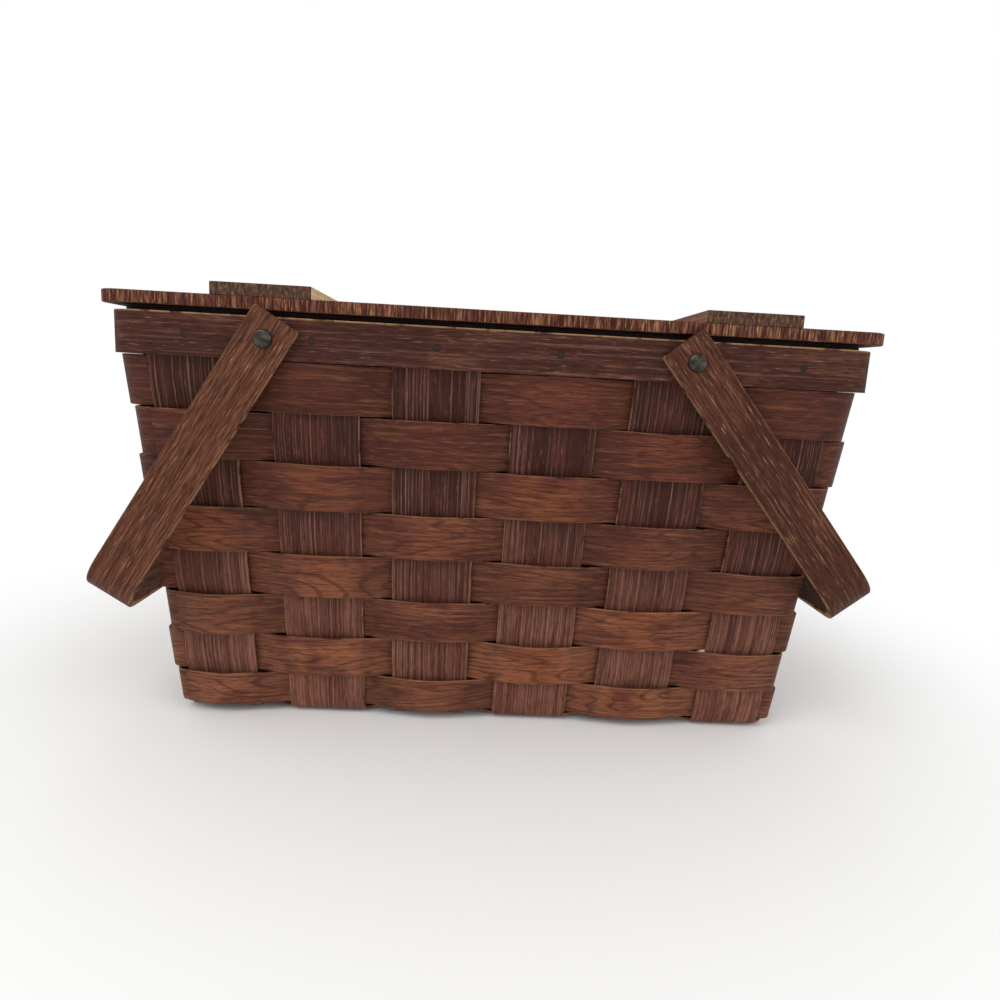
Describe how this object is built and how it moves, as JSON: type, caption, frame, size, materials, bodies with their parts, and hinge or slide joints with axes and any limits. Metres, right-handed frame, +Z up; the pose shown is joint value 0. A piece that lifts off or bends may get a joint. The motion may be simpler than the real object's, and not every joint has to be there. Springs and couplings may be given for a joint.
{
  "type": "picnic basket",
  "caption": "Rectangular woven wood splint picnic basket with flared walls, a hinged flat board lid with two battens, and two swinging wooden strip handles riveted to the rim.",
  "frame": {"origin": "middle of the base, on the ground", "axes": "+X to the right along the long side, front at -Y, +Z up"},
  "size_m": [0.4368, 0.3042, 0.2567],
  "materials": {
    "stake_splint": "aged stained splint",
    "weaver_splint": "aged stained splint",
    "rim_wood": "aged, worn edges",
    "lid_wood": "weathered board",
    "handle_wood": "dark, worn edges",
    "rivet_metal": "dull, tarnished",
    "iron": "dark, tarnished"
  },
  "bodies": {
    "basket": {"cross_stake_1": "stake_splint", "cross_stake_2": "stake_splint", "cross_stake_3": "stake_splint", "cross_stake_4": "stake_splint", "cross_stake_5": "stake_splint", "cross_stake_6": "stake_splint", "long_stake_1": "stake_splint", "long_stake_2": "stake_splint", "long_stake_3": "stake_splint", "weaver_row_1": "weaver_splint", "weaver_row_2": "weaver_splint", "weaver_row_3": "weaver_splint", "weaver_row_4": "weaver_splint", "weaver_row_5": "weaver_splint", "weaver_row_6": "weaver_splint", "weaver_row_7": "weaver_splint", "weaver_row_8": "weaver_splint", "outer_rim_band": "rim_wood", "inner_rim_band": "rim_wood", "rim_tacks": "iron", "hinge_left_rim_leaf": "iron", "hinge_left_pin": "iron", "hinge_right_rim_leaf": "iron", "hinge_right_pin": "iron", "rim_hinge_screws": "iron", "rivet_front_left": "rivet_metal", "rivet_front_right": "rivet_metal", "rivet_back_left": "rivet_metal", "rivet_back_right": "rivet_metal", "rivet_washers": "rivet_metal"},
    "lid": {"lid_board": "lid_wood", "batten_left": "lid_wood", "batten_right": "lid_wood", "batten_nails": "iron", "hinge_left_lid_leaf": "iron", "hinge_right_lid_leaf": "iron", "lid_hinge_screws": "iron"},
    "handle_left": {"handle_left": "handle_wood"},
    "handle_right": {"handle_right": "handle_wood"}
  },
  "joints": [
    {"name": "lid_hinge", "type": "hinge", "parent": "basket", "child": "lid", "pos_m": [0, 0.14822, 0.2422], "axis": [-1, 0, 0], "range_deg": [0, 110]},
    {"name": "handle_left_swing", "type": "hinge", "parent": "basket", "child": "handle_left", "pos_m": [-0.11898, 0, 0.2295], "axis": [0, 1, 0], "range_deg": [0, 182]},
    {"name": "handle_right_swing", "type": "hinge", "parent": "basket", "child": "handle_right", "pos_m": [0.10198, 0, 0.2295], "axis": [0, -1, 0], "range_deg": [0, 175]}
  ]
}
